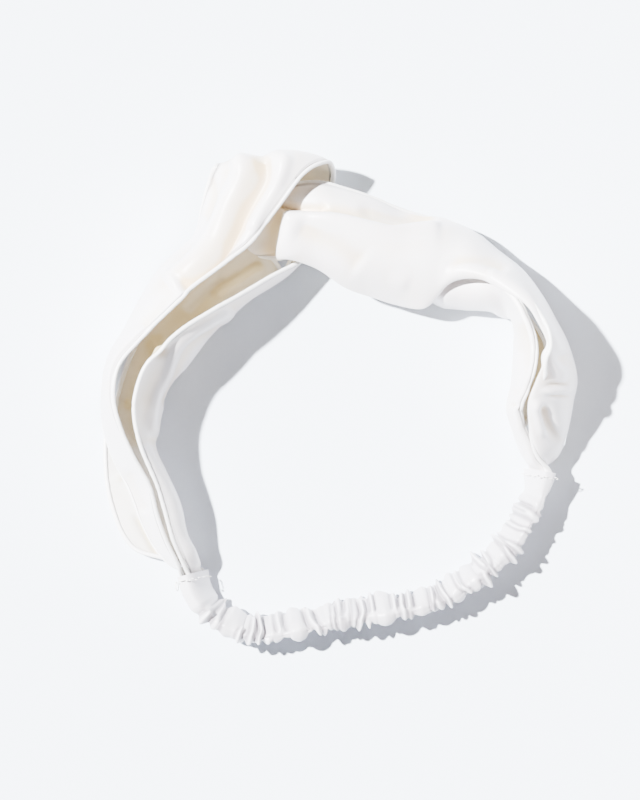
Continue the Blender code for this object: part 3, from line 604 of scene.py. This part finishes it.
def fold_field(grid, places, folds):
    """How far each point of a strip moves along its normal, and how much painted shade it gets in
    a fold.
    """
    move = np.zeros(grid.shape[:2])
    fold_shade = np.zeros(grid.shape[:2])
    for kind, first, last, line, width, height in folds:
        rows = np.flatnonzero((places > first - FOLD_FADE) & (places < last + FOLD_FADE))
        if not len(rows):
            continue
        on = slice(rows[0], rows[-1] + 1)
        far, side, fade = near_line(grid[on], np.array(line, float))
        fade = fade * (smooth((places[on] - first + FOLD_FADE) / FOLD_FADE)
                       * smooth((last + FOLD_FADE - places[on]) / FOLD_FADE))[:, None]
        if kind in ("ridge", "shade_tint"):
            shape = np.exp(-(far / width) ** 2)
        elif kind == "crease":
            shape = np.exp(-far / width)
        else:
            near = np.exp(-(far / (6 * width)) ** 2)
            shape = 0.5 * np.tanh(side * far / width) * near
        if kind == "shade_tint":
            fold_shade[on] += height * shape * fade
            continue
        move[on] += height * shape * fade
        # painted shade in the hollow of a valley
        if height < 0 and kind == "ridge":
            hollow = np.exp(-(far / (1.2 * width)) ** 2)
            fold_shade[on] += 0.10 * hollow * fade * min(1, -height / 2) * 0.5
        # painted shade on the low side of a step
        if kind == "step":
            below = np.where(side * far < 0, np.exp(-(far / (2.5 * width)) ** 2), 0)
            fold_shade[on] += 0.4 * below * fade * min(1, height / 2)
    return move, fold_shade


def curl_rim(grid, normals, column, angles):
    """Extra columns that carry on past a rim and curl under it, from the rim outwards."""
    line = grid[:, column]
    inner = grid[:, 2 if column == 0 else -3]
    tangent = unit(np.gradient(line, axis=0))
    away = line - inner
    away = unit(away - tangent * np.sum(away * tangent, axis=1)[:, None])
    normal = unit(np.cross(tangent, away))
    normal *= np.sign(np.sum(normal * normals[:, column], axis=1))[:, None]
    columns = []
    for k in range(1, CURL_CELLS + 1):
        phi = angles * k / CURL_CELLS
        near = np.maximum(phi, 1e-3)
        columns.append(line + CURL_R * (np.sin(near)[:, None] * away
                                        - (1 - np.cos(near))[:, None] * normal))
    end = np.cos(angles)[:, None] * away - np.sin(angles)[:, None] * normal
    return np.stack(columns, axis=1), end, normal


def build_strip(side, rows, folds, curls, seed):
    """Both plies of a strip, its two pipings and their filler cords."""
    places = even_places(rows, ALONG)
    four = catmull(rows, places)
    grid = cubic_across(four, ACROSS)
    outer_side = 1 if side == "left" else -1
    normals = grid_normals(grid) * outer_side
    n, m = grid.shape[:2]
    reach = np.concatenate([[0], np.cumsum(np.linalg.norm(
        np.diff(grid[:, m // 2], axis=0), axis=1))])
    width = np.linalg.norm(np.diff(grid, axis=1), axis=2).sum(axis=1)
    across = np.linspace(0, 1, m)[None] * width[:, None]
    along = np.broadcast_to(reach[:, None], (n, m))

    # held still where the strip goes into the casing
    calm = smooth((places - 2.0) / 1.5) * smooth((len(rows) - 3.0 - places) / 1.5)
    edge = np.minimum(across, width[:, None] - across)
    move, fold_shade = fold_field(grid, places, folds)
    # painted shade in hollows, where the cloth lies below its smoothed surroundings
    fold_shade = fold_shade + np.clip(0.8 * (blur(move, 12, 5) - move), -0.1, 0.5)
    # soft cloth is never flat, and a corded seam puckers the cloth beside it
    move += 0.22 * waves(along / 9, across / 7, seed)
    pucker = waves(along * 1.25, across / 9, seed + 1, 6, 0.7, 1.5)
    move += 0.10 * pucker * np.exp(-edge / 2.2)
    move *= calm[:, None]
    hold = smooth(edge / 1.5)
    seam = np.zeros((n, m))
    grid = grid + normals * (move * (0.25 + 0.75 * hold))[..., None]
    normals = grid_normals(grid) * outer_side
    rims, bends = {}, {}
    for rim, column, gap in (("upper", 0, across), ("lower", -1, width[:, None] - across)):
        knots = np.array(curls[rim], float)
        bend = np.radians(np.interp(places, knots[:, 0], knots[:, 1]))
        bends[rim] = bend = blur(bend[:, None], 8, 0)[:, 0]
        # the outline stays where it was: the cloth is drawn in by as much as the curl takes
        drawn = CURL_R * np.sin(np.minimum(bend, math.pi / 2))
        if side == "right" and rim == "upper":
            for row, spread, depth in SLIT_DRAWS:
                drawn = drawn + depth * np.exp(-((places - row) / spread) ** 2)
        inwards = unit(grid[:, 3 if column == 0 else -4] - grid[:, column])
        grid = grid + (drawn[:, None] * np.exp(-gap / 4))[..., None] * inwards[:, None]
        # a stitched groove beside a piping that shows, darkened by painted shade along it
        open_rim = smooth(1 - bend / math.radians(30))
        groove = np.exp(-((gap - 0.35) / 0.36) ** 2) * open_rim[:, None]
        seam = seam + groove
        grid = grid - normals * (0.10 * groove)[..., None]
    for rim, column in (("upper", 0), ("lower", -1)):
        rims[rim] = curl_rim(grid, normals, column, bends[rim])
    grid = np.concatenate([rims["upper"][0][:, ::-1], grid, rims["lower"][0]], axis=1)
    grid[..., 2] = np.maximum(grid[..., 2], CLOTH_FLOOR)
    extra = np.zeros((n, CURL_CELLS))
    fold_shade = np.concatenate([extra, fold_shade, extra], axis=1)
    seam = np.concatenate([extra, seam, extra], axis=1)
    gaps = np.linalg.norm(np.diff(grid, axis=1), axis=2)
    across = np.concatenate([np.zeros((n, 1)), np.cumsum(gaps, axis=1)], axis=1)
    m = grid.shape[1]
    along = np.broadcast_to(reach[:, None], (n, m))
    width = across[:, -1]
    normals = unit(blur(grid_normals(grid), 1, 1)) * outer_side

    # painted warm shade down in a fold, and on the lining where the cloth closes over it
    shade_tint = np.clip(fold_shade * calm[:, None], 0, 1)
    coords = np.stack([across, along], axis=-1).reshape(-1, 2)
    coords = np.concatenate([coords, coords])
    pocket_shade = np.interp(places, *np.array(LINING_SHADE[side], float).T)
    layer_shade = {"face": shade_tint.ravel(), "lining": np.clip(shade_tint + pocket_shade[:, None], 0, 1).ravel()}
    # the painted shade of the groove, for both plies
    groove_shade = np.clip(0.9 * np.concatenate([seam.ravel(), seam.ravel()]), 0, 1)
    half = PLY_GAP / 2
    for layer, low, high, material, slot in (
            ("face", half, half + PLY, face_satin, "ivory_satin"),
            ("lining", -half - PLY, -half, lining_satin, "ivory_lining")):
        obj = make_mesh(f"{side}_strip_{layer}_cloth", *slab(grid, normals, low, high),
                        material, slot, np.tile(layer_shade[layer], 2), coords, groove_shade)
        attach(obj, "front_band")
        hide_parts(f"{side}_strip_{layer}")

    for rim, column in (("upper", 0), ("lower", -1)):
        line = blur(grid[:, column], 2, 0)
        tangent = unit(np.gradient(line, axis=0))
        away = blur(rims[rim][1], 2, 0)
        away = unit(away - tangent * np.sum(away * tangent, axis=1)[:, None])
        across_dir = unit(np.cross(tangent, away))
        wobble = 0.05 * waves(reach * 1.6, reach * 0, seed + 5) * calm
        centres = line + away * (SEAM_GAP + PIPING_R - 0.12)
        centres[:, 2] = np.maximum(centres[:, 2], PIPING_FLOOR)
        radius = PIPING_R * (1 + wobble)
        outer = rings(centres, away, across_dir, radius, PIPING_SIDES)
        inner = rings(centres, away, across_dir, radius - PIPING_WALL, PIPING_SIDES)
        girth = np.linspace(0, 2 * math.pi * PIPING_R, PIPING_SIDES)
        uv = np.stack(np.broadcast_arrays(girth[None], reach[:, None]), axis=-1).reshape(-1, 2)
        obj = make_mesh(f"{side}_{rim}_piping_cover", *pipe(outer, inner), piping_satin,
                        "ivory_piping", np.zeros(2 * len(uv)), np.concatenate([uv, uv]))
        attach(obj, "front_band")
        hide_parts(f"{side}_{rim}_piping")
        twist = reach * 1.4
        strands = []
        for turn_by in (0.0, 2 * math.pi / 3, 4 * math.pi / 3):
            offset = (np.cos(twist + turn_by)[:, None] * away
                      + np.sin(twist + turn_by)[:, None] * across_dir)
            strands.append(rings(centres + STRAND_R * offset, away, across_dir, STRAND_R, 6))
        points, faces, start = [], [], 0
        for strand in strands:
            more, cells = tube(strand, start=start)
            points.append(more)
            faces += cells
            start += len(more)
        obj = make_mesh(f"{side}_{rim}_filler_cord", np.concatenate(points), faces, cotton,
                        "cotton_cord")
        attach(obj, "front_band")
        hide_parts(f"{side}_{rim}_cord")


left = (seam_rows(False, (TUCK, 0.0), (5.0, 1.4), (-1.6, 1.8)) + LEFT_FRONT + LEFT_KNOT
        + LEFT_BACK + seam_rows(False, (0.0, TUCK), (5.0, -1.4), (-5.0, -1.4)))
right = (seam_rows(True, (TUCK, 0.0), (5.0, 1.4), (-5.0, 1.4)) + RIGHT_FRONT + RIGHT_KNOT
         + RIGHT_BACK + seam_rows(True, (0.0, TUCK), (5.0, -1.4), (-5.0, -1.4)))
build_strip("left", left, LEFT_FOLDS, LEFT_CURLS, 11)
build_strip("right", right, RIGHT_FOLDS, RIGHT_CURLS, 23)


# ---------------------------------------------------------------- elastic and its casing
def squared(value, power=0.6):
    """A sine or cosine pushed outwards, which flattens an oval's sides."""
    return np.sign(value) * np.abs(value) ** power


def ruffles(at, angles):
    """How far the gathered casing stands out at each place along it and angle round it, and
    how much painted shade it gets in a gather."""
    rng = np.random.default_rng(5)
    field = np.full((len(at), len(angles)), -0.55)
    fold_shade = np.zeros_like(field)
    bright = np.zeros_like(field)
    place = 15.0
    while place < CASING_LENGTH - 9.0:
        # a bunch of one to four narrow folds, then a broad puff that is nearly flat
        for _ in range(rng.integers(1, 5)):
            middle = rng.uniform(0, 2 * math.pi)
            gap = np.angle(np.exp(1j * (angles - middle)))
            spread = rng.uniform(1.2, 3.4)
            keep = smooth((spread - np.abs(gap)) / 0.6)
            line = (place + rng.uniform(-1.6, 1.6) * np.sin(gap)
                    + rng.uniform(-0.8, 0.8) * np.sin(2 * gap + rng.uniform(0, 6)))
            wide = rng.uniform(0.6, 1.15)
            high = rng.uniform(0.8, 1.9)
            off = (at[:, None] - line) / wide
            field += high * np.exp(-np.abs(off) ** 2.4) * keep
            bright = np.maximum(bright, np.exp(-np.abs(off) ** 2.4) * keep)
            field -= 0.35 * high * np.exp(-((np.abs(off) - 1.9) / 0.7) ** 2) * keep
            # painted shade in the hollows either side of a narrow fold
            fold_shade += 0.8 * np.exp(-((np.abs(off) - 1.7) / 0.8) ** 2) * keep
            place += rng.uniform(1.5, 2.6)
        width = rng.choice([3.0, 4.5, 6.5, 8.5], p=[0.30, 0.30, 0.25, 0.15])
        t = (at - place) / width
        puff = np.where((t > 0) & (t < 1), np.sin(math.pi * np.clip(t, 0, 1)) ** 0.6, 0)
        wave = 1 + 0.35 * np.sin(angles * 2 + rng.uniform(0, 6))
        field += rng.uniform(0.5, 1.3) * puff[:, None] * wave[None]
        place += width + rng.uniform(0.2, 1.0)
    crumple = (0.60 * waves(at[:, None] / 4.5, np.sin(angles)[None] * 2.5, 31)
               + 0.30 * waves(at[:, None] / 1.6, angles[None] * 1.4, 32)
               + 0.16 * waves(at[:, None] / 0.8, angles[None] * 2.6, 33))
    # painted shade all over, except on the crests of the narrow folds, which stay lit
    return np.clip(field, -1.4, 2.6) + crumple, np.clip(fold_shade + 0.34 * (1 - bright), 0, 1)


share, centre, tall, thick = casing_frames(CASING_ALONG, 0.0, 1.0)
at = share * CASING_LENGTH
angles = 2 * math.pi * (np.arange(CASING_SIDES) + 0.5) / CASING_SIDES
calm = smooth((at - 11.0) / 4.0) * smooth((CASING_LENGTH - 6.0 - at) / 5.0)
field, fold_shade = ruffles(at, angles)
field = field * calm[:, None]
flare = 0.3 * np.exp(-np.minimum(share, 1 - share) * CASING_LENGTH / 4)


def casing_wall(inset):
    """Rings of the casing's skin, so far inside its outer one."""
    keep = 1.0 if inset == 0 else 0.92
    tall_r = CASING_HEIGHT / 2 - inset - 0.6 * calm + flare
    thick_r = CASING_DEPTH / 2 - inset - 0.3 * calm + flare
    neck = 1.3 * np.exp(-((at - (CASING_LENGTH - 7.0)) / 3.0) ** 2)
    tall_r, thick_r = tall_r - neck, thick_r - 0.4 * neck
    around = squared(np.sin(angles))[None]
    about = squared(np.cos(angles))[None]
    out = ((tall_r[:, None] * around)[..., None] * tall[:, None]
           + (thick_r[:, None] * about)[..., None] * thick[:, None])
    normal = unit((around / CASING_HEIGHT)[..., None] * tall[:, None]
                  + (about / CASING_DEPTH)[..., None] * thick[:, None])
    ring = centre[:, None] + out + normal * (field * keep)[..., None]
    floor = 0.15 + inset
    ring[..., 2] = np.where(ring[..., 2] < floor + 0.8,
                            floor + 0.8 * np.exp((ring[..., 2] - floor - 0.8) / 0.8),
                            ring[..., 2])
    return ring


outer, inner = casing_wall(0.0), casing_wall(CASING_WALL)
uv = np.stack([np.broadcast_to(angles[None] * 7.0, field.shape),
               np.broadcast_to(at[:, None], field.shape)], axis=-1).reshape(-1, 2)
# painted shade of the gathers, weaker towards the casing's ends
shade_tint = np.clip(fold_shade * (0.5 + 0.5 * calm[:, None]), 0, 1).ravel()
casing = make_mesh("ruched_casing", *pipe(outer, inner), casing_satin, "ivory_satin",
                   np.concatenate([shade_tint, shade_tint]), np.concatenate([uv, uv]))

inset = 1.0 / CASING_LENGTH
_, centre_b, tall_b, thick_b = casing_frames(260, inset, 1 - inset)
cells = 24
step = np.linspace(1, -1, cells + 1)
rib = 0.05 * np.cos(step * math.pi * 9)
band_grid = (centre_b[:, None] + tall_b[:, None] * (BAND_HEIGHT / 2 * step)[None, :, None])
band_normals = np.repeat(thick_b[:, None], cells + 1, axis=1)
points, faces = slab(band_grid, band_normals * (1 + rib)[None, :, None],
                     -BAND_THICK / 2, BAND_THICK / 2)
band = make_mesh("flat_elastic", points, faces, elastic, "white_elastic")

# the stretch runs from the casing's front, which stays with the strips, to its back
for obj, node in ((casing, "elastic_casing"), (band, "elastic_band")):
    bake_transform(obj)
    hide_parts(node)

# ---------------------------------------------------------------- seam stitches
def thread_along(line, beside, radius, start):
    """A round thread along a line of points; beside is a way that is never along it."""
    tangent = unit(np.gradient(line, axis=0))
    side = unit(np.cross(tangent, np.broadcast_to(beside, line.shape)))
    return tube(rings(line, side, np.cross(tangent, side), radius, 8), start=start)


for name, place in (("left_seam", 2.2), ("right_seam", CASING_LENGTH - 2.2)):
    share_at = place / CASING_LENGTH
    _, c, t, k = casing_frames(3, share_at - 0.002, share_at + 0.002)
    forward = unit(np.cross(t[1], k[1]))
    points, faces, start = [], [], 0
    count = 15
    for stitch in range(count):
        mid = math.radians(-20 + 220 * stitch / (count - 1))
        steps = np.linspace(mid - 0.09, mid + 0.09, 7)
        lift = 0.10 + 0.22 * np.sin(np.linspace(0, math.pi, 7))
        line = (c[1] + np.outer(squared(np.sin(steps)), t[1])
                * (CASING_HEIGHT / 2 + FLARE + lift)[:, None]
                + np.outer(squared(np.cos(steps)), k[1])
                * (CASING_DEPTH / 2 + FLARE + lift)[:, None])
        line += np.outer(np.full(7, 0.35 * math.sin(stitch * 2.4)), forward)
        more, cells = thread_along(line, forward, STITCH_R, start)
        points.append(more)
        faces += cells
        start += len(more)
    if name == "left_seam":
        # the end of the thread stands off the cloth in a small loop
        turn = np.linspace(0, 1.8 * math.pi, 28)
        foot = c[1] + k[1] * (CASING_DEPTH / 2 + FLARE + 0.35) + t[1] * 5.0
        line = (foot + np.outer(1.5 * (1 - np.cos(turn)), forward)
                + np.outer(1.1 * np.sin(turn), t[1]) + np.outer(0.5 * np.sin(turn / 2), k[1]))
        more, cells = thread_along(line, k[1], LOOSE_THREAD_R, start)
        points.append(more)
        faces += cells
    obj = make_mesh(name + "_stitches", np.concatenate(points), faces, thread, "ivory_thread")
    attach(obj, "front_band")
    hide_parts(name + "_thread")

# ---------------------------------------------------------------- table, light, camera
bpy.ops.mesh.primitive_plane_add(size=6.0, location=(0, 0, -0.0002))
table = bpy.context.object
table.name = "table"
cover = bpy.data.materials.new("table_cover")
cover.use_nodes = True
shader = cover.node_tree.nodes["Principled BSDF"]
shader.inputs["Base Color"].default_value = (0.84, 0.90, 0.97, 1.0)
shader.inputs["Roughness"].default_value = 0.9
shader.inputs["Specular IOR Level"].default_value = 0.1
table.data.materials.append(cover)


def from_drawing(vector):
    c, s = math.cos(LOOP_TURN), math.sin(LOOP_TURN)
    return Vector((vector[0] * c - vector[1] * s, vector[0] * s + vector[1] * c, vector[2]))


sun_data = bpy.data.lights.new("window", "SUN")
sun_data.energy = 34.0
sun_data.angle = math.radians(2.0)
sun_data.color = (0.95, 0.97, 1.0)
sun = bpy.data.objects.new("window", sun_data)
sun.rotation_euler = from_drawing((17.4, -7.4, -27.0)).to_track_quat("-Z", "Y").to_euler()
bpy.context.scene.collection.objects.link(sun)

world = bpy.data.worlds.new("studio")
bpy.context.scene.world = world
world.use_nodes = True
world.node_tree.nodes["Background"].inputs["Color"].default_value = (1.0, 0.74, 0.78, 1.0)
world.node_tree.nodes["Background"].inputs["Strength"].default_value = 0.05

# a reflector close to the right of the object
card_data = bpy.data.lights.new("reflector", "AREA")
card_data.shape, card_data.size, card_data.size_y = "RECTANGLE", 0.20, 0.10
card_data.energy = 0.35
card_data.color = (1.0, 0.93, 0.92)
card = bpy.data.objects.new("reflector", card_data)
card.location = from_drawing((0.235, -0.01, 0.10))
card.rotation_euler = from_drawing((-0.235, 0.0, -0.12)).to_track_quat("-Z", "Y").to_euler()
bpy.context.scene.collection.objects.link(card)

camera_data = bpy.data.cameras.new("camera")
camera_data.type = "ORTHO"
camera_data.ortho_scale = 0.296
camera_data.clip_end = 10.0
camera = bpy.data.objects.new("camera", camera_data)
aim = from_drawing((-7.4, -1.1, 0.0)) * MM
camera.location = (aim.x + SHIFT[0], aim.y + SHIFT[1], 1.5)
camera.rotation_euler = (0.0, 0.0, LOOP_TURN)
bpy.context.scene.collection.objects.link(camera)
bpy.context.scene.camera = camera
